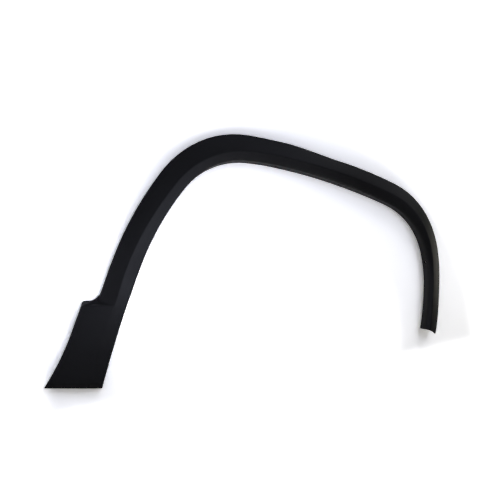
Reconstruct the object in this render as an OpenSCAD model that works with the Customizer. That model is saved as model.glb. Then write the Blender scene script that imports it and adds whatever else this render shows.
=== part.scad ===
// Wheel arch trim: a thin-walled moulding that frames a front wheel opening.
// X runs along the car towards the bumper, Y goes into the car, Z is up.
// The origin is the root of the four-way locating pin behind the crown.

/* [Opening edge] */
// The edge of the wheel opening is a chain of arcs, from the foot of the sill leg
// over the crown to the tail under the bumper, each with a length and a turn.
// Lean of the sill leg from upright at its foot, in degrees
sill_lean = 15; // [10:0.5:20]
// Length of the sill leg
sill_leg_len = 331; // [300:1:360]
// Turn of the sill leg, in degrees
sill_leg_turn = 6; // [3:0.5:9]
// Length of the haunch above the sill leg
haunch_len = 220; // [190:2:250]
// Turn of the haunch, in degrees
haunch_turn = 17.5; // [14:0.5:22]
// Length of the tight bend into the crown
crown_len = 181; // [170:1:200]
// Turn of the crown bend, in degrees
crown_turn = 57.5; // [52:0.5:62]
// Length of the brow just past the crown
brow_len = 76; // [60:1:100]
// Turn of the brow, in degrees
brow_turn = 6.5; // [4:0.5:9]
// Length of the long slope towards the bumper
slope_len = 303; // [280:1:320]
// Turn of the slope, in degrees
slope_turn = 11; // [8:0.5:14]
// Length of the bend down into the bumper leg
bend_len = 170; // [160:1:190]
// Turn of that bend, in degrees
bend_turn = 52; // [48:0.5:56]
// Length of the upper half of the bumper leg
bumper_leg_len = 96; // [85:1:110]
// Turn of that half, in degrees
bumper_leg_turn = 17; // [13:0.5:21]
// Length of the tail
tail_len = 103; // [90:1:115]
// Turn of the tail, in degrees
tail_turn = 8.5; // [5:0.5:11]
// How far the end of the tail is cut off square, in degrees
tail_skew = 9; // [0:1:15]

/* [Bands] */
// Width of the outer band above the foot
outer_band_sill = 40; // [34:1:48]
// Width of the outer band at the crown
outer_band_crown = 49; // [42:1:54]
// Width of the outer band at the brow
outer_band_brow = 40; // [34:1:46]
// Width of the outer band halfway down the slope
outer_band_slope = 31; // [27:1:38]
// Width of the outer band on the bumper leg
outer_band_tail = 29; // [25:1:34]
// Width of the inner band above the foot
inner_band_sill = 26; // [20:1:32]
// Width of the inner band at the top of the haunch
inner_band_haunch = 19; // [15:1:25]
// Width of the inner band at the brow
inner_band_brow = 21; // [16:1:26]
// Width of the inner band at the foot of the slope
inner_band_slope = 24; // [18:1:28]
// Width of the inner band at the tail
inner_band_tail = 8.5; // [7:0.5:14]
// How far the outer edge lies behind the crease
outer_set = 13; // [9:0.5:16]
// How far the opening edge lies behind the crease
inner_set = 9; // [6:0.5:12]
// Crown of the outer band between its edges
band_bulge = 0.8; // [0:0.1:1.5]
// Wall of the moulding
wall = 2.8; // [2:0.1:3.2]
// Reach of the round along both edges
edge_round = 4; // [2:0.5:4.5]
// Reach of the round along the crease
crease_round = 1.6; // [0.8:0.2:3]

/* [Returns] */
// Depth of the body side behind the crease, where the outer lip ends
body_gap = 21; // [18:0.5:26]
// Depth of the wheel-lip flange on the sill side
flange_depth = 28; // [24:1:34]
// Depth of the wheel-lip flange at the tail
tail_flange_depth = 20; // [16:1:26]
// Draft of the flange towards the wheel, in degrees
flange_draft = 12; // [6:1:14]

/* [Bow] */
// Distance from the locating pin towards the bumper at which the bow begins
bow_start = 240; // [180:5:300]
// Radius of the bow that follows the corner of the car
bow_radius = 700; // [600:10:1200]

/* [Foot] */
// Height of the foot
foot_h = 220; // [180:5:250]
// Width of the foot below its ledge
foot_w = 108; // [100:1:116]
// How much wider the foot is at its bottom edge
foot_flare = 30; // [10:1:40]
// Height over which the foot flares
flare_h = 160; // [100:5:175]
// Radius of the hollow between the ledge and the arch
ledge_fillet = 21; // [12:1:26]
// Height over which the ledge falls back to the outer band
ledge_run = 11; // [6:1:16]
// Radius of the outer top corner of the foot
foot_corner = 5; // [2:0.5:8]
// Depth of both edges of the foot behind its face
foot_set = 2; // [1:0.25:3]

/* [Clip towers] */
// Number of clip towers between the foot and the crown
clip_n_sill = 3; // [2:1:4]
// Number of clip towers between the crown and the tail
clip_n_slope = 5; // [4:1:6]
// Distance of the lowest of them above the ledge
first_clip_run = 70; // [60:1:90]
// Distance of the last of them from the end of the tail
last_clip_run = 90; // [70:1:110]
// Width of a clip tower along the band
tower_w = 20; // [18:1:26]
// Depth of a clip tower across the band
tower_d = 17; // [15:1:18]
// Wall of a clip tower
tower_wall = 1.8; // [1.4:0.1:2.4]
// Gap between the top of a tower and the body side
tower_gap = 1; // [0.5:0.1:2]
// Number of stiffening ribs between two towers
gap_ribs = 2; // [1:1:3]
// Thickness of the stiffening ribs
rib_t = 1.8; // [1.2:0.1:2.4]

/* [Retainer clips] */
// Radius of the neck that sits in the slot of a tower
neck_r = 3.6; // [3:0.1:4]
// Play between a clip and its tower
clip_play = 0.1; // [0.05:0.05:0.3]
// Thickness of the head
head_t = 2; // [1.6:0.1:2.6]
// Radius of the sealing skirt
skirt_r = 8; // [7:0.5:9]
// Radius of the stud
stud_r = 2.6; // [2.2:0.1:3]
// Length of the stud beyond the body side
stud_len = 15; // [12:1:20]
// Number of barbs
barb_n = 3; // [2:1:4]

/* [Locating pins and screw holes] */
// Radius of the locating pins
pin_r = 4; // [3:0.25:5]
// Length of the locating pins beyond the body side
pin_len = 12; // [8:1:16]
// Radius of the screw holes
screw_r = 3; // [2:0.1:3.5]
// Width of the pad round a screw hole
pad_w = 4; // [3:0.5:5]
// Height of the pad above the wall
pad_h = 2; // [1:0.5:3]

/* [Hidden] */
$fn = 48;

ARCS = [
    [sill_leg_len, sill_leg_turn],
    [haunch_len, haunch_turn],
    [crown_len, crown_turn],
    [brow_len, brow_turn],
    [slope_len, slope_turn],
    [bend_len, bend_turn],
    [bumper_leg_len, bumper_leg_turn],
    [tail_len, tail_turn],
];

// Place and heading [x, z, heading] after a distance d along an arc that starts at p
function along(p, arc, d) =
    let (r = arc[0] / arc[1] * 180 / PI, h = p[2] + arc[1] * d / arc[0])
    [p[0] + r * (cos(p[2]) - cos(h)), p[1] + r * (sin(h) - sin(p[2])), h];

// Where each arc starts, and its distance from the foot of the sill leg
ARC_STARTS = [
    for (i = 0, p = [0, 0, sill_lean]; i < len(ARCS); p = along(p, ARCS[i], ARCS[i][0]), i = i + 1) p
];
ARC_DISTANCES = [for (i = 0, d = 0; i < len(ARCS); d = d + ARCS[i][0], i = i + 1) d];
edge_len = ARC_DISTANCES[len(ARCS) - 1] + tail_len;

function arc_at(q) = max([for (i = [0 : len(ARCS) - 1]) if (i == 0 || ARC_DISTANCES[i] <= q) i]);
function pose(q) = let (i = arc_at(q)) along(ARC_STARTS[i], ARCS[i], q - ARC_DISTANCES[i]);

// Smooth step from 0 at a to 1 at b
function ease(a, b, q) = let (f = min(1, max(0, (q - a) / (b - a)))) f * f * (3 - 2 * f);
// Curve that eases through [distance, value] pairs
function eased(pairs, q, i = 1) =
    i == len(pairs) ? pairs[0][1]
    : (pairs[i][1] - pairs[i - 1][1]) * ease(pairs[i - 1][0], pairs[i][0], q) + eased(pairs, q, i + 1);

// The ledge lies where the opening edge reaches the height of the foot
sill_r = sill_leg_len / sill_leg_turn * 180 / PI;
ledge_lean = asin(foot_h / sill_r + sin(sill_lean));
ledge_q = (ledge_lean - sill_lean) * sill_leg_len / sill_leg_turn;
crown_q = ARC_DISTANCES[2] + crown_len / 2;
slope_q = ARC_DISTANCES[4] + slope_len / 2;
bend_q = ARC_DISTANCES[5] + bend_len / 2;

OUTER_BAND = [
    [ledge_q, outer_band_sill],
    [crown_q, outer_band_crown],
    [ARC_DISTANCES[4], outer_band_brow],
    [slope_q, outer_band_slope],
    [bend_q, outer_band_tail],
];
INNER_BAND = [
    [ledge_q, inner_band_sill],
    [ARC_DISTANCES[2], inner_band_haunch],
    [ARC_DISTANCES[4], inner_band_brow],
    [ARC_DISTANCES[5], inner_band_slope],
    [ARC_DISTANCES[7], inner_band_tail],
];
// Run over which the sections turn from level in the foot to square on the arch
level_run = 150;
skew_run = 60;
// Run over which the crease fades into the foot
fade_run = 90;

// Direction of a section: 0 is level, and the pose's heading is square to the edge
function section_turn(q) =
    pose(q)[2] * ease(ledge_q, ledge_q + level_run, q) + tail_skew * ease(edge_len - skew_run, edge_len, q);
function slant(q) = 1 / cos(pose(q)[2] - section_turn(q));

// Height above the ledge, and the outline of the foot and of the hollow above it
function over_ledge(q) = q < crown_q ? pose(q)[1] - foot_h : foot_h;
function foot_width(z) =
    foot_w + foot_flare * pow(max(0, 1 - z / flare_h), 2)
    - (z > foot_h - foot_corner
        ? foot_corner - sqrt(max(0, pow(foot_corner, 2) - pow(z - foot_h + foot_corner, 2))) : 0);
function hollow(h) = ledge_fillet - sqrt(pow(ledge_fillet, 2) - pow(ledge_fillet - min(h, ledge_fillet), 2));

function inner_w(q) = eased(INNER_BAND, q) * slant(q);
function outer_w(q) =
    over_ledge(q) <= 0.01 ? foot_width(pose(q)[1]) - inner_w(q)
    : eased(OUTER_BAND, q) * slant(q) + hollow(over_ledge(q));
function inner_drop(q) =
    foot_set + (inner_set - foot_set) * ease(ledge_q - fade_run / 2, ledge_q + fade_run, q);
function outer_drop(q) =
    let (f = min(1, over_ledge(q) / ledge_run))
    f <= 0 ? foot_set : foot_set + (outer_set - foot_set) * sqrt(1 - pow(1 - f, 2));
function flange_end(q) = inner_set + eased([[slope_q, flange_depth], [bend_q, tail_flange_depth]], q);

// Corners of a section: flange end, opening edge, crease, outer edge and lip end
function corners(q) = [
    [-(flange_end(q) - inner_drop(q)) * tan(flange_draft), flange_end(q)],
    [0, inner_drop(q)],
    [inner_w(q), 0],
    [inner_w(q) + outer_w(q), outer_drop(q)],
    [inner_w(q) + outer_w(q), body_gap],
];
function unit(v) = v / norm(v);
function left(v) = [-v[1], v[0]];
// The same corners moved into the moulding by t
function inset_corners(c, t) = [
    for (i = [0 : len(c) - 1])
        let (a = left(unit(c[max(i, 1)] - c[max(i, 1) - 1])),
             b = left(unit(c[min(i, len(c) - 2) + 1] - c[min(i, len(c) - 2)])))
        c[i] + t * (a + b) / (1 + a * b)
];
// Round at corner p between its neighbours a and b
function round_off(p, a, b, reach, n) =
    let (k = min(reach, norm(a - p) / 2.2, norm(b - p) / 2.2),
         s = p + k * unit(a - p),
         e = p + k * unit(b - p))
    [for (i = [0 : n]) let (f = i / n) s * pow(1 - f, 2) + p * 2 * f * (1 - f) + e * f * f];
// Outline of a section through its corners c
function outline(c, edge, crease) = concat(
    [c[0]],
    round_off(c[1], c[0], c[2], edge, 3),
    round_off(c[2], c[1], c[3], crease, 2),
    [for (f = [0.33, 0.67]) c[2] + f * (c[3] - c[2]) - [0, band_bulge * 4 * f * (1 - f)]],
    round_off(c[3], c[2], c[4], edge, 3),
    [c[4]]
);
function skin(q) = outline(corners(q), min(edge_round, 1.5 * wall), crease_round);
function lining(q) = outline(inset_corners(corners(q), wall), min(edge_round, 1.5 * wall) / 2, crease_round);

// Point p of a section at q, on a flat car side, with x and z from the locating pin
function flat_at(q, u) = let (s = pose(q), e = section_turn(q)) [s[0] - cos(e) * u, s[1] + sin(e) * u];
PIN_PLACE = flat_at(crown_q, inner_w(crown_q) + outer_w(crown_q) / 2);
function bow_angle(x) = max(0, x - bow_start) / bow_radius * 180 / PI;
// Wraps the flat car side round the corner of the car
function bowed(x, v, z) =
    let (a = bow_angle(x))
    [min(x, bow_start) + (bow_radius - v) * sin(a), v * cos(a) + bow_radius * (1 - cos(a)), z];
function spot(q, p) =
    let (f = flat_at(q, p[0]) - PIN_PLACE)
    bowed(f[0], p[1] - body_gap, f[1]);

// Sections lie close together round the ledge and evenly elsewhere
foot_steps = 12;
arch_steps = 80;
function by_height(h) = ledge_q + h / cos(ledge_lean);
arch_q = by_height(ledge_fillet + 3);
STATIONS = concat(
    [for (i = [0 : foot_steps - 1]) i / foot_steps * by_height(-foot_corner - 2)],
    [for (i = [0 : 3]) by_height(-foot_corner * cos(30 * i))],
    [for (i = [0 : 5]) by_height(max(0.4, ledge_fillet * (1 - cos(18 * i))))],
    [for (i = [0 : arch_steps]) arch_q + i / arch_steps * (edge_len - arch_q)]
);
// The lining turns a wall below the ledge and above the bottom edge
function lining_q(q) =
    let (at_ledge = 1 - ease(0, fade_run / 2, abs(q - ledge_q)),
         at_bottom = 1 - ease(0, fade_run / 2, q))
    q + wall / cos(ledge_lean) * (at_bottom - at_ledge);
function shut(p) = [p[0], max(p[1], body_gap)];

SKIN_ROWS = concat(
    [[for (p = skin(0)) spot(0, shut(p))]],
    [for (q = STATIONS) [for (p = skin(q)) spot(q, p)]]
);
LINING_ROWS = concat(
    [[for (p = lining(0)) spot(lining_q(0), shut(p))]],
    [for (q = STATIONS) [for (p = lining(q)) spot(lining_q(q), p)]]
);

// Shell between two grids of points that share their counts
module shell(outer, inner) {
    m = len(outer) - 1;
    n = len(outer[0]) - 1;
    function o(i, j) = i * (n + 1) + j;
    function k(i, j) = (m + 1) * (n + 1) + i * (n + 1) + j;
    function quad(a, b, c, d) = [[a, b, c], [a, c, d]];
    skin_faces = [
        for (i = [0 : m - 1], j = [0 : n - 1])
            each quad(o(i, j), o(i, j + 1), o(i + 1, j + 1), o(i + 1, j))
    ];
    lining_faces = [
        for (i = [0 : m - 1], j = [0 : n - 1])
            each quad(k(i, j), k(i + 1, j), k(i + 1, j + 1), k(i, j + 1))
    ];
    flange_edge = [for (i = [0 : m - 1]) each quad(o(i, 0), o(i + 1, 0), k(i + 1, 0), k(i, 0))];
    lip_edge = [for (i = [0 : m - 1]) each quad(o(i, n), k(i, n), k(i + 1, n), o(i + 1, n))];
    bottom_edge = [for (j = [0 : n - 1]) each quad(o(0, j), k(0, j), k(0, j + 1), o(0, j + 1))];
    tail_edge = [for (j = [0 : n - 1]) each quad(o(m, j), o(m, j + 1), k(m, j + 1), k(m, j))];
    polyhedron(
        points = concat([for (row = outer) each row], [for (row = inner) each row]),
        faces = concat(skin_faces, lining_faces, flange_edge, lip_edge, bottom_edge, tail_edge)
    );
}

// Middle of the wall along a section
function mid_line(q) = inset_corners(corners(q), wall / 2);
function band_mid(q) = inner_w(q) + outer_w(q) / 2;

// Places children at u on a section at q, with X across the band, Y along it and Z into the car
module at_band(q, u) {
    flat = flat_at(q, u) - PIN_PLACE;
    translate(bowed(flat[0], -body_gap, flat[1]))
        rotate([-90, section_turn(q) + 180, bow_angle(flat[0])])
            children();
}
// Plate of thickness t that stands on edge along X and Z
module on_edge(t) {
    rotate([90, 0, 0]) linear_extrude(t, center = true) children();
}

// Stiffening rib across the moulding
module rib(q) {
    m = mid_line(q);
    edge = 0.85;
    sag = 4;
    at_band(q, m[2][0])
        on_edge(rib_t)
            translate([-m[2][0], 0])
                polygon([
                    m[1] + edge * (m[0] - m[1]), m[1], m[2], m[3],
                    m[3] + edge * (m[4] - m[3]), [m[2][0], body_gap - sag],
                ]);
}

// Height of the middle of the wall at x across the outer band from its middle
function footing(q, x) =
    let (m = mid_line(q), slope = (m[3][1] - m[2][1]) / (m[3][0] - m[2][0]))
    m[2][1] + (band_mid(q) + x - m[2][0]) * slope;
// Wall from x = a to x = b across the band, from the skin up to the given top
module upright(q, a, b, top, t) {
    on_edge(t) polygon([[a, footing(q, a)], [b, footing(q, b)], [b, top], [a, top]]);
}

// Box on the back of the skin with a slotted top that holds a retainer clip
tower_top = body_gap - tower_gap;
module clip_tower(q) {
    at_band(q, band_mid(q)) {
        for (side = [-1, 1])
            translate([0, side * (tower_w - tower_wall) / 2, 0])
                upright(q, -tower_d / 2, tower_d / 2, tower_top, tower_wall);
        upright(q, tower_d / 2 - tower_wall, tower_d / 2, tower_top, tower_w);
        translate([0, 0, tower_top - tower_wall])
            linear_extrude(tower_wall)
                difference() {
                    square([tower_d, tower_w], center = true);
                    circle(neck_r + clip_play);
                    translate([-tower_d, -neck_r - clip_play]) square([tower_d, 2 * (neck_r + clip_play)]);
                }
    }
}

// Push-in clip: a head under the tower's top, a neck, a skirt and a barbed stud
head_r = min(tower_w, tower_d) / 2 - tower_wall - clip_play;
module retainer_clip(q) {
    under = tower_top - tower_wall - clip_play;
    over = tower_top + clip_play;
    tip = body_gap + stud_len;
    skirt_t = 0.7;
    skirt_h = 1.6;
    barb_reach = 1.2;
    pitch = stud_len / (barb_n + 2);
    head = [[0, under - head_t], [head_r, under - head_t], [head_r, under], [neck_r, under]];
    skirt = [[neck_r, over], [skirt_r, over], [skirt_r, over + skirt_t], [neck_r, over + skirt_h]];
    barbs = [
        for (i = [1 : barb_n], step = [[0, 0], [barb_reach, 0.5], [0, pitch * 0.8]])
            [stud_r + step[0], body_gap + i * pitch + step[1]]
    ];
    point = [[stud_r, tip - stud_r], [stud_r / 2, tip], [0, tip]];
    at_band(q, band_mid(q))
        rotate_extrude()
            polygon(concat(head, skirt, [[stud_r, over + skirt_h]], barbs, point));
}

// Locating pin on crossed ribs, with a shoulder that meets the body side
module locating_pin(q) {
    shoulder_w = 3;
    shoulder_h = 2;
    point = 1.5;
    reach = pin_r + shoulder_w;
    at_band(q, band_mid(q)) {
        upright(q, -reach, reach, body_gap - shoulder_h / 2, rib_t);
        upright(q, -rib_t / 2, rib_t / 2, body_gap - shoulder_h / 2, 2 * reach);
        translate([0, 0, body_gap - shoulder_h]) cylinder(r = reach, h = shoulder_h);
        translate([0, 0, body_gap - shoulder_h]) cylinder(r = pin_r, h = shoulder_h + pin_len - point);
        translate([0, 0, body_gap + pin_len - point]) cylinder(r1 = pin_r, r2 = pin_r - point, h = point);
    }
}

// Axis of a screw hole through the middle of the flange, with Z into the moulding
module at_flange(q) {
    c = corners(q);
    p = (c[0] + c[1]) / 2;
    at_band(q, 0) translate([p[0], 0, p[1]]) rotate([0, 90 - flange_draft, 0]) children();
}
// Axis of the screw hole through the bottom of the foot, with Z up
module at_foot_bottom() {
    at_band(0, foot_w / 2) translate([0, 0, (foot_set + body_gap) / 2]) rotate([-90, 0, 0]) children();
}
module screw_pad() {
    translate([0, 0, wall / 2]) cylinder(r = screw_r + pad_w, h = wall / 2 + pad_h);
}
module screw_hole() {
    translate([0, 0, -wall]) cylinder(r = screw_r, h = 3 * wall + pad_h);
}

// Ribs up the back of the foot, halfway between its tower and its two sides
module foot_ribs() {
    top = body_gap - 2;
    tower_u = band_mid(foot_clip);
    for (u = [(tower_u - tower_d / 2) / 2, (tower_u + tower_d / 2 + foot_w) / 2])
        at_band(0, u)
            rotate([0, 0, (sill_lean + ledge_lean) / 2])
                translate([-rib_t / 2, wall / 2, wall / 2])
                    cube([rib_t, (foot_h - wall) / cos(sill_lean), top - wall / 2]);
}

// Towers stand at even steps on each side of the crown pin, and one in the foot
sill_step = (crown_q - ledge_q - first_clip_run) / (clip_n_sill - 0.5);
slope_step = (edge_len - last_clip_run - crown_q) / (clip_n_slope - 0.5);
foot_clip = ledge_q / 2;
ARCH_CLIPS = concat(
    [for (i = [clip_n_sill : -1 : 1]) crown_q - (i - 0.5) * sill_step],
    [for (i = [1 : clip_n_slope]) crown_q + (i - 0.5) * slope_step]
);
CLIPS = concat([foot_clip], ARCH_CLIPS);
// Place at the fraction f of the way from one tower to the next
function between(i, f) = ARCH_CLIPS[i] + f * (ARCH_CLIPS[i + 1] - ARCH_CLIPS[i]);
last_gap = len(ARCH_CLIPS) - 2;
RIBS = concat(
    [ledge_q * 0.25, ledge_q * 0.75],
    [for (i = [0 : last_gap], k = [1 : gap_ribs]) between(i, k / (gap_ribs + 1))]
);
// The pins take the middle of two of the gaps, and the lip screws that of the rest
crown_gap = clip_n_sill - 1;
bend_gap = clip_n_sill + 2;
PINS = [crown_q, between(bend_gap, 0.5)];
SCREWS = [for (i = [0 : last_gap]) if (i != crown_gap && i != bend_gap) between(i, 0.5)];

// The moulding: glass-filled polypropylene, moulded in black with a grained face
module arch_moulding() {
    color("#1b1b1e")
        difference() {
            union() {
                shell(SKIN_ROWS, LINING_ROWS);
                for (q = RIBS) rib(q);
                for (q = CLIPS) clip_tower(q);
                for (q = PINS) locating_pin(q);
                for (q = SCREWS) at_flange(q) screw_pad();
                at_foot_bottom() screw_pad();
                foot_ribs();
            }
            for (q = SCREWS) at_flange(q) screw_hole();
            at_foot_bottom() screw_hole();
        }
}

// The retainer clips, moulded in natural nylon
module retainer_clips() {
    color("#d9d4c4")
        for (q = CLIPS) retainer_clip(q);
}

arch_moulding();
retainer_clips();
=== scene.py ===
import math

import bpy
import numpy as np
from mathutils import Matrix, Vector


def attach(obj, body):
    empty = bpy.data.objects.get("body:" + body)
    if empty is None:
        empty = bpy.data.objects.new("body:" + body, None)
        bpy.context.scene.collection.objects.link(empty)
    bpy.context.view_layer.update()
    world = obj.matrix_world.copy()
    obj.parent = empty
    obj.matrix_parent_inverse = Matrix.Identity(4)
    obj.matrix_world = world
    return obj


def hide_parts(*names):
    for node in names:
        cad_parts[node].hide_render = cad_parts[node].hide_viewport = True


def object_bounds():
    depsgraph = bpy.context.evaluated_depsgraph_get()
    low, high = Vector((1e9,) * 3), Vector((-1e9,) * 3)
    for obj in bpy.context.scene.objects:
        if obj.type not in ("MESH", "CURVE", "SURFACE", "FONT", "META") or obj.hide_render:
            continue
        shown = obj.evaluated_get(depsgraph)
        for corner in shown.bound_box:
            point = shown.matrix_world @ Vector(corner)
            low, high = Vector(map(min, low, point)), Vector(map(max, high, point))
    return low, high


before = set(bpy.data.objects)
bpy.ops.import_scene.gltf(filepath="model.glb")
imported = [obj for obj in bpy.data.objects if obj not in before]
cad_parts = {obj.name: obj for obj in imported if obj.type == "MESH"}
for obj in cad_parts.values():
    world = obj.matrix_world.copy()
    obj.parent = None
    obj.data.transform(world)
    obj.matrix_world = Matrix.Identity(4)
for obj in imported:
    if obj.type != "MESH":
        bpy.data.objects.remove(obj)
cad_low, cad_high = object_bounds()


# Camera
# A long lens looks straight at the outer face, as at a trim laid on a table
# and photographed from above. The view is 500 pixels of 2.5 mm wide at the crease.
MM = 0.001
view_width = 1250 * MM
lens = 100
sensor = 36
distance = view_width * lens / sensor
farthest_seen = 20
view_right_of_middle = 13.8 * MM
view_above_middle = 27.6 * MM
middle_x = (cad_low[0] + cad_high[0]) / 2
middle_z = (cad_low[2] + cad_high[2]) / 2
view_x = middle_x + view_right_of_middle
view_z = middle_z + view_above_middle
crease_y = cad_low[1]

bpy.ops.object.camera_add(
    location=(view_x, crease_y - distance, view_z),
    rotation=(math.radians(90), 0, 0),
)
camera = bpy.context.object
camera.data.lens = lens
camera.data.sensor_width = sensor
camera.data.clip_end = farthest_seen
bpy.context.scene.camera = camera
bpy.context.scene.view_settings.view_transform = "Standard"


# Arch moulding
# One injection moulding in black talc-filled polypropylene with a fine grain
# etched into the tool's face side. It carries its own towers, ribs and pins,
# and clips and screws hold it to the body side.
weld = 0.002 * MM
soft_angle = math.radians(28)
cut_step, last_cut = 20, 260

# The edge of the opening is a chain of arcs, each a length in millimetres and a turn in
# degrees, as in the part's source. The solids lie up to 10 mm off the photographed lines,
# so each point of the skin is eased across to them. The back of the flange stays put.
PIN_X, PIN_Z = 265.342, 599.609
sill_lean = 15
sill_leg, haunch, crown, brow = (331, 6), (220, 17.5), (181, 57.5), (76, 6.5)
slope, bend, bumper_leg, tail = (303, 11), (170, 52), (96, 17), (103, 8.5)
arcs = (sill_leg, haunch, crown, brow, slope, bend, bumper_leg, tail)
body_bow_start = 240
body_bow_radius = 700
body_gap = 21
edge_depth = 9
flange_reach = 28
path_step = 1.0
lean_blend = 150


def edge_path():
    """Points of the opening edge: distance along it, x, z and heading in degrees."""
    points, start, x, z, heading = [], 0, 0, 0, sill_lean
    for length, turn in arcs:
        radius = length / math.radians(turn)
        first = math.radians(heading)
        for i in range(int(length / path_step)):
            here = first + i * path_step / radius
            right = radius * (math.cos(first) - math.cos(here))
            up = radius * (math.sin(here) - math.sin(first))
            points.append((start + i * path_step, x + right, z + up, math.degrees(here)))
        heading += turn
        last = math.radians(heading)
        x += radius * (math.cos(first) - math.cos(last))
        z += radius * (math.sin(last) - math.sin(first))
        start += length
    return np.array(points)


def eased(knots, along):
    """Smooth steps from knot to knot, each a distance along the edge and a value."""
    value = np.full_like(along, knots[0][1])
    for (knot, held), (next_knot, next_held) in zip(knots[:-1], knots[1:]):
        part = np.clip((along - knot) / (next_knot - knot), 0, 1)
        value += (next_held - held) * part * part * (3 - 2 * part)
    return value


edge = edge_path()
ends = np.cumsum([length for length, turn in arcs]).tolist()
haunch_end, crown_end, brow_end, slope_end, bend_end, leg_end, tail_end = ends[1:]
ledge_at = 230
mid_crown, mid_slope, mid_bend = 641, 959, 1196
edge_shift = [
    (0, -10),
    (ledge_at, -8.7),
    (haunch_end, -8),
    (crown_end, -0.5),
    (brow_end, 1.2),
    (slope_end, -2.3),
    (leg_end, -2),
    (tail_end, 0.4),
]
crease_shift = [
    (0, -3.8),
    (ledge_at, -2.4),
    (haunch_end, -2.2),
    (brow_end, 3.3),
    (slope_end, -1.2),
    (bend_end, -1.9),
    (leg_end, -3.4),
    (tail_end, -1),
]
outer_shift = [
    (0, -1.8),
    (ledge_at, -0.3),
    (haunch_end, -1.2),
    (brow_end, -0.9),
    (slope_end, -1.2),
    (bend_end, -1.3),
    (leg_end, -3),
    (tail_end, -0.3),
]
inner_width = [(ledge_at, 26), (haunch_end, 19), (brow_end, 21), (slope_end, 24), (leg_end, 8.5)]
outer_width = [(ledge_at, 40), (mid_crown, 49), (brow_end, 40), (mid_slope, 31), (mid_bend, 29)]


def points_of(mesh):
    """x, y and z of a mesh's points in millimetres."""
    points = np.empty(len(mesh.vertices) * 3)
    mesh.vertices.foreach_get("co", points)
    return (points.reshape(-1, 3) / MM).T


def put_points(mesh, x, y, z):
    """Gives a mesh's points new places, in millimetres."""
    mesh.vertices.foreach_set("co", (np.stack([x, y, z], 1) * MM).ravel())
    mesh.update()


def ease_across(mesh):
    """Moves points along the face, so its edge, crease and outer lines fit the photograph."""
    x, y, z = points_of(mesh)
    past_start, from_centre = x - body_bow_start, body_bow_radius - y
    bowed = past_start > 0
    turn = np.where(bowed, np.arctan2(past_start, from_centre), 0)
    flat_x = np.where(bowed, body_bow_start + turn * body_bow_radius, x)
    depth = np.where(bowed, body_bow_radius - np.hypot(past_start, from_centre), y) + body_gap

    dx = flat_x[:, None] + PIN_X - edge[None, :, 1]
    dz = z[:, None] + PIN_Z - edge[None, :, 2]
    nearest = np.argmin(dx**2 + dz**2, axis=1)
    rows = np.arange(len(nearest))
    along = edge[nearest, 0]
    heading = np.radians(edge[nearest, 3])
    off_edge = -dx[rows, nearest] * np.cos(heading) + dz[rows, nearest] * np.sin(heading)

    crease = eased(inner_width, along)
    outer = crease + eased(outer_width, along)
    at_edge = eased(edge_shift, along)
    at_crease = eased(crease_shift, along)
    at_outer = eased(outer_shift, along)
    inner_part = np.clip(off_edge / crease, 0, 1)
    outer_part = np.clip((off_edge - crease) / (outer - crease), 0, 1)
    shift = at_edge + (at_crease - at_edge) * inner_part + (at_outer - at_crease) * outer_part
    shift *= 1 - np.clip((depth - edge_depth) / flange_reach, 0, 1)

    lean = heading * np.clip((along - ledge_at) / lean_blend, 0, 1)
    flat_x = flat_x - shift * np.cos(lean)
    z = z + shift * np.sin(lean)
    turn = np.where(flat_x > body_bow_start, (flat_x - body_bow_start) / body_bow_radius, 0)
    from_centre = body_bow_radius - (depth - body_gap)
    x = np.minimum(flat_x, body_bow_start) + from_centre * np.sin(turn)
    y = body_bow_radius - from_centre * np.cos(turn)
    put_points(mesh, x, y, z)


ledge_height = 220
ledge_rise = 11
ledge_drop = 11
ledge_blend = 55
foot_depth, band_depth = 2, 13
front_skin, front_blend = 3.5, 5
foot_tuck = 5
tuck_height = 180


def settle_foot(mesh):
    """Lowers the ledge's line on the foot and tucks its face in towards the bottom edge."""
    x, y, z = points_of(mesh)
    height = z + PIN_Z
    above = np.clip(1 - (height - ledge_height - ledge_rise) / ledge_blend, 0, 1)
    below = np.clip(1 + (height - ledge_height) / ledge_blend, 0, 1)
    ledge = [ledge_height, ledge_height + ledge_rise]
    face = np.interp(height, ledge, [foot_depth, band_depth])
    front = 1 - np.clip((y + body_gap - face - front_skin) / front_blend, 0, 1)
    sill = edge[:haunch_end]
    edge_x = np.interp(height, sill[:, 2], sill[:, 1]) - PIN_X
    inwards = np.clip((edge_x - x) / inner_width[0][1], 0, 1)
    sill_side = x < 0
    z = z - np.where(sill_side, ledge_drop * above * below * front * inwards, 0)
    tuck = foot_tuck * np.clip(1 - height / tuck_height, 0, 1) ** 2
    y = y + np.where(sill_side, tuck * front, 0)
    put_points(mesh, x, y, z)


def welded_copy(node_name, name, cut_heights=()):
    """Copies one of the solids, welds its points and cuts its faces across at some heights."""
    bpy.ops.object.select_all(action="DESELECT")
    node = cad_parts[node_name]
    node.select_set(True)
    bpy.context.view_layer.objects.active = node
    bpy.ops.object.duplicate()
    copy = bpy.context.object
    copy.name = name
    bpy.ops.object.mode_set(mode="EDIT")
    bpy.ops.mesh.select_all(action="SELECT")
    bpy.ops.mesh.remove_doubles(threshold=weld)
    for height in cut_heights:
        bpy.ops.mesh.select_all(action="SELECT")
        bpy.ops.mesh.bisect(plane_co=(0, 0, (height - PIN_Z) * MM), plane_no=(0, 0, 1))
    bpy.ops.object.mode_set(mode="OBJECT")
    return copy


foot_cuts = range(cut_step, last_cut + cut_step, cut_step)
moulding = welded_copy("arch_moulding", "grained_moulding", foot_cuts)
ease_across(moulding.data)
settle_foot(moulding.data)
bpy.ops.object.shade_smooth_by_angle(angle=soft_angle)
moulding.modifiers.new("even_faces", "WEIGHTED_NORMAL").keep_sharp = True
bpy.ops.object.modifier_apply(modifier="even_faces")


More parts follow.
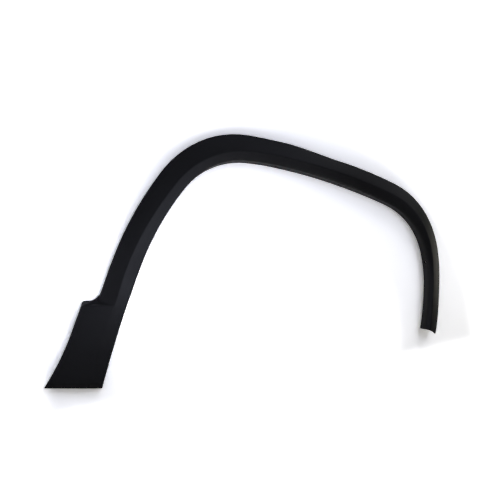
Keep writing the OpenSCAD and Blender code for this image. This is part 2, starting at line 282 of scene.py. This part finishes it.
def linear(hex_colour):
    """Turns an sRGB hex colour into linear red, green, blue and alpha."""
    parts = [int(hex_colour[i : i + 2], 16) / 255 for i in (1, 3, 5)]
    return [p / 12.92 if p <= 0.04045 else ((p + 0.055) / 1.055) ** 2.4 for p in parts] + [1]


def add(tree, kind, links=(), **settings):
    """Adds a node, sets its sockets or properties by name, and links other sockets to it."""
    node = tree.nodes.new(kind)
    for name, value in settings.items():
        label = name.replace("_", " ")
        if label in node.inputs:
            node.inputs[label].default_value = value
        else:
            setattr(node, name, value)
    for source, target in links:
        tree.links.new(source, node.inputs[target])
    return node


def new_material(name):
    """Makes an empty node material and gives its tree and output."""
    material = bpy.data.materials.new(name)
    material.use_nodes = True
    tree = material.node_tree
    tree.nodes.clear()
    return material, tree, tree.nodes.new("ShaderNodeOutputMaterial")


# Talc-filled polypropylene off an etched tool is near black and dull, with a low sheen
# that varies a little from place to place. The real grain is a few tenths of a
# millimetre wide, and is drawn about 1 mm wide so that it shows.
moulding_black = "#070708"
grain_size = 1.1 * MM
grain_height = 0.05 * MM
sheen_per_metre = 9.0


def grained_polypropylene():
    material, tree, output = new_material("grained_polypropylene")
    place = add(tree, "ShaderNodeTexCoord")
    on_piece = [(place.outputs["Object"], "Vector")]
    grain = add(tree, "ShaderNodeTexNoise", on_piece, Scale=1 / grain_size, Detail=2.0)
    sheen = add(tree, "ShaderNodeTexNoise", on_piece, Scale=sheen_per_metre, Detail=3.0)
    rough = add(
        tree,
        "ShaderNodeMapRange",
        [(sheen.outputs["Fac"], "Value")],
        **{"To Min": 0.42, "To Max": 0.5},
    )
    bump = add(
        tree,
        "ShaderNodeBump",
        [(grain.outputs["Fac"], "Height")],
        Distance=grain_height,
        Strength=0.6,
    )
    plastic = add(
        tree,
        "ShaderNodeBsdfPrincipled",
        [(rough.outputs["Result"], "Roughness"), (bump.outputs["Normal"], "Normal")],
        **{"Base Color": linear(moulding_black), "IOR": 1.49, "Specular IOR Level": 0.14},
    )
    tree.links.new(plastic.outputs["BSDF"], output.inputs["Surface"])
    return material


moulding.data.materials.clear()
moulding.data.materials.append(grained_polypropylene())
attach(moulding, "root")
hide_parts("arch_moulding")


# Retainer clips
# Nine push-in clips moulded in natural nylon. Each is pressed into a tower behind the
# trim, so they are eased across with the moulding.
clips = welded_copy("retainer_clips", "nylon_clips")
ease_across(clips.data)
bpy.ops.object.shade_smooth_by_angle(angle=soft_angle)

# Natural nylon off a smooth tool is cream and softly glossy. Its gloss is a little
# cloudy, in patches about 8 mm wide.
nylon_cream = "#cfc8b2"
clouds_per_metre = 120.0


def natural_nylon():
    material, tree, output = new_material("natural_nylon")
    place = add(tree, "ShaderNodeTexCoord")
    on_piece = [(place.outputs["Object"], "Vector")]
    cloud = add(tree, "ShaderNodeTexNoise", on_piece, Scale=clouds_per_metre, Detail=2.0)
    tone = add(
        tree,
        "ShaderNodeMapRange",
        [(cloud.outputs["Fac"], "Value")],
        **{"To Min": 0.36, "To Max": 0.46},
    )
    nylon = add(
        tree,
        "ShaderNodeBsdfPrincipled",
        [(tone.outputs["Result"], "Roughness")],
        **{"Base Color": linear(nylon_cream), "IOR": 1.53},
    )
    tree.links.new(nylon.outputs["BSDF"], output.inputs["Surface"])
    return material


clips.data.materials.clear()
clips.data.materials.append(natural_nylon())
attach(clips, "root")
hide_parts("retainer_clips")


# Backdrop and floor
# A white sheet lies against the flange at the back and curves with the bow at the bumper
# end. It catches the soft shadow, glows for the camera away from the trim, and is clear
# from behind. A pale floor lies below the view.
sheet_y = 18 * MM
sheet_size = 4
sheet_columns = 200
bow_start = body_bow_start * MM
bow_radius = body_bow_radius * MM
last_turn = math.radians(34)
sheet_radius = bow_radius - sheet_y
bpy.ops.mesh.primitive_grid_add(
    x_subdivisions=sheet_columns,
    y_subdivisions=2,
    size=sheet_size,
    location=(bow_start, 0, view_z),
)
sheet = bpy.context.object
sheet.name = "backdrop"
for vertex in sheet.data.vertices:
    run = max(0, vertex.co.x)
    turn = min(run / bow_radius, last_turn)
    rest = run - turn * bow_radius
    across = min(0, vertex.co.x) + sheet_radius * math.sin(turn) + rest * math.cos(turn)
    back = sheet_y + sheet_radius * (1 - math.cos(turn)) + rest * math.sin(turn)
    vertex.co = (across, back, vertex.co.y)
bpy.ops.object.shade_smooth()
floor_drop = 0.72
floor_size = 6
bpy.ops.mesh.primitive_plane_add(size=floor_size, location=(view_x, 0, view_z - floor_drop))
floor = bpy.context.object
floor.name = "floor"

# Matt white paper. The glow is low round the arch and the foot, so that their shadow
# stays, and rises to white along three ramps: outside the arch, inside it and below it.
near_glow, far_glow = 0.06, 1.0
paper_white = 0.9
seen_white = 1.5
paper_tint = (1.0, 0.985, 0.92)
arch_radius = 475 * MM
arch_right = 30 * MM
arch_below = 237 * MM
end_slope = 0.164
outside_start, outside_end = arch_radius + 62 * MM, arch_radius + 142 * MM
inside_start, inside_end = arch_radius - 100 * MM, arch_radius - 188 * MM
below_start, below_end = -70 * MM, -125 * MM


def glow_away(tree):
    """Strength of the backdrop's glow: low round the arch and the foot, high away from them."""
    place = add(tree, "ShaderNodeTexCoord")
    middle = (view_x + arch_right - bow_start, 0, -arch_below)
    centre = add(
        tree,
        "ShaderNodeVectorMath",
        [(place.outputs["Object"], 0)],
        operation="SUBTRACT",
    )
    centre.inputs[1].default_value = middle
    parts = add(tree, "ShaderNodeSeparateXYZ", [(centre.outputs[0], 0)])
    flat = add(tree, "ShaderNodeCombineXYZ", [(parts.outputs["X"], 0), (parts.outputs["Z"], 2)])
    reach = add(tree, "ShaderNodeVectorMath", [(flat.outputs[0], 0)], operation="LENGTH")
    below = add(tree, "ShaderNodeVectorMath", [(flat.outputs[0], 0)], operation="DOT_PRODUCT")
    below.inputs[1].default_value = (-end_slope, 0, 1)
    ramps = []
    for value, start, end in (
        (reach.outputs["Value"], outside_start, outside_end),
        (reach.outputs["Value"], inside_start, inside_end),
        (below.outputs["Value"], below_start, below_end),
    ):
        ramp = add(
            tree,
            "ShaderNodeMapRange",
            [(value, "Value")],
            interpolation_type="SMOOTHSTEP",
            **{"From Min": start, "From Max": end, "To Min": near_glow, "To Max": far_glow},
        )
        ramps.append(ramp.outputs["Result"])
    most = ramps[0]
    for ramp in ramps[1:]:
        larger = add(tree, "ShaderNodeMath", [(most, 0), (ramp, 1)], operation="MAXIMUM")
        most = larger.outputs[0]
    return most


def white_paper(name, one_way):
    """Matt white that looks brighter to the camera; if one_way, clear from behind."""
    material, tree, output = new_material(name)
    ray = add(tree, "ShaderNodeLightPath")
    seen = ray.outputs["Is Camera Ray"]
    tone = add(
        tree,
        "ShaderNodeMapRange",
        [(seen, "Value")],
        **{"To Min": paper_white, "To Max": seen_white},
    )
    tint = add(
        tree,
        "ShaderNodeVectorMath",
        [(tone.outputs["Result"], "Scale")],
        operation="SCALE",
    )
    tint.inputs[0].default_value = paper_tint
    paper = add(tree, "ShaderNodeBsdfDiffuse", [(tint.outputs[0], "Color")])
    strength = add(tree, "ShaderNodeMath", [(seen, 0)], operation="MULTIPLY")
    strength.inputs[1].default_value = far_glow
    if one_way:
        tree.links.new(glow_away(tree), strength.inputs[1])
    glow = add(
        tree,
        "ShaderNodeEmission",
        [(strength.outputs[0], "Strength")],
        Color=(1, 1, 1, 1),
    )
    lit = add(tree, "ShaderNodeAddShader", [(paper.outputs[0], 0), (glow.outputs[0], 1)])
    if not one_way:
        tree.links.new(lit.outputs[0], output.inputs["Surface"])
        return material
    side = add(tree, "ShaderNodeNewGeometry")
    through = add(
        tree,
        "ShaderNodeMath",
        [(side.outputs["Backfacing"], 0), (ray.outputs["Is Shadow Ray"], 1)],
        operation="MAXIMUM",
    )
    clear = add(tree, "ShaderNodeBsdfTransparent")
    surface = add(
        tree,
        "ShaderNodeMixShader",
        [(through.outputs[0], 0), (lit.outputs[0], 1), (clear.outputs[0], 2)],
    )
    tree.links.new(surface.outputs[0], output.inputs["Surface"])
    return material


sheet.data.materials.append(white_paper("backdrop_paper", True))
floor.data.materials.append(white_paper("floor_paper", False))


# Lamps and world
# Broad soft lamps stand round to the right and above and rake across the face. Small near
# lamps pick out the sill leg, the foot, the haunch, the slope and the bumper end, and two
# weak ones behind show the ribs and towers.
centre = Vector((view_x, 0, view_z))
far = 2.0


def around(tilt, turn):
    """Place round the trim: degrees off the line of sight, then degrees from right to up."""
    off_sight, from_right = math.radians(tilt), math.radians(turn)
    sideways = math.sin(off_sight)
    right, up = sideways * math.cos(from_right), sideways * math.sin(from_right)
    return centre + far * Vector((right, -math.cos(off_sight), up))


def soft_lamp(name, place, aim, size, watts, colour, spread=180):
    """Adds a square lamp that looks at its aim; spread is its beam in degrees."""
    bpy.ops.object.light_add(type="AREA", location=place)
    lamp = bpy.context.object
    lamp.name = name
    lamp.rotation_euler = (Vector(aim) - Vector(place)).to_track_quat("-Z", "Y").to_euler()
    lamp.data.size = size
    lamp.data.energy = watts
    lamp.data.color = linear(colour)[:3]
    lamp.data.spread = math.radians(spread)


broad = 0.8
small = 0.3
behind_upper = centre + Vector((0.5, 1.0, 0.2))
behind_left = centre + Vector((-0.5, 1.0, 0.1))
key_white = "#f0f3ff"
fill_white = "#e6eaff"
warm_white = "#fffaec"
plain_white = "#ffffff"
soft_lamp("above_right", around(66, 60), centre, broad, 6.2, key_white)
soft_lamp("right_above", around(80, 30), centre, broad, 4.6, key_white)
soft_lamp("above_right_low", around(80, 60), centre, broad, 1.7, warm_white)
soft_lamp("behind_right", around(100, 30), centre, broad, 2.0, warm_white)
soft_lamp("above_left", around(45, 135), centre, broad, 3.0, fill_white)
soft_lamp("left", around(45, 180), centre, broad, 1.1, key_white)
soft_lamp("front_left", around(20, 180), centre, broad, 3.3, fill_white)
soft_lamp("leg_glow", (-0.05, -0.4, -0.3), (-0.25, 0, -0.4), small, 0.95, fill_white)
soft_lamp("foot_glow", (-0.75, -0.45, -0.2), (-0.33, 0, -0.45), small, 0.7, fill_white)
soft_lamp("bumper_front", (0.95, -0.3, -0.2), (0.58, 0.05, -0.25), small, 0.9, fill_white)
soft_lamp("bumper_side", (1.1, 0.35, -0.25), (0.58, 0.07, -0.25), small, 0.85, warm_white)
soft_lamp("crown_glow", (0.0, -0.4, 0.35), (0.0, 0, 0.0), small, 0.4, fill_white)
soft_lamp("slope_below", (0.25, -0.3, -0.4), (0.3, 0, -0.08), small, 0.3, fill_white)
soft_lamp("under_slope", (0.25, 0.0, -0.75), (0.3, 0, -0.08), small, 1.25, warm_white)
soft_lamp("leg_spot", (-0.1, -0.45, -0.3), (-0.31, 0, -0.39), small, 0.15, fill_white, 40)
soft_lamp("haunch_spot", (0.25, -0.35, -0.35), (-0.08, 0, -0.12), small, 0.13, fill_white, 50)
soft_lamp("slope_spot", (0.35, -0.5, 0.3), (0.25, 0, -0.03), small, 0.1, fill_white, 60)
soft_lamp("behind_upper", behind_upper, centre, small, 1.6, plain_white, 80)
soft_lamp("behind_left", behind_left, centre, small, 1.3, plain_white, 80)

world = bpy.data.worlds.new("studio")
bpy.context.scene.world = world
world.use_nodes = True
tree = world.node_tree
tree.nodes.clear()
output = tree.nodes.new("ShaderNodeOutputWorld")
ray = add(tree, "ShaderNodeLightPath")
white = add(tree, "ShaderNodeBackground", Color=(1, 1, 1, 1), Strength=1.0)
dim = add(tree, "ShaderNodeBackground", Color=(1, 1, 1, 1), Strength=0.02)
mix = add(
    tree,
    "ShaderNodeMixShader",
    [(ray.outputs["Is Camera Ray"], 0), (dim.outputs[0], 1), (white.outputs[0], 2)],
)
tree.links.new(mix.outputs[0], output.inputs["Surface"])
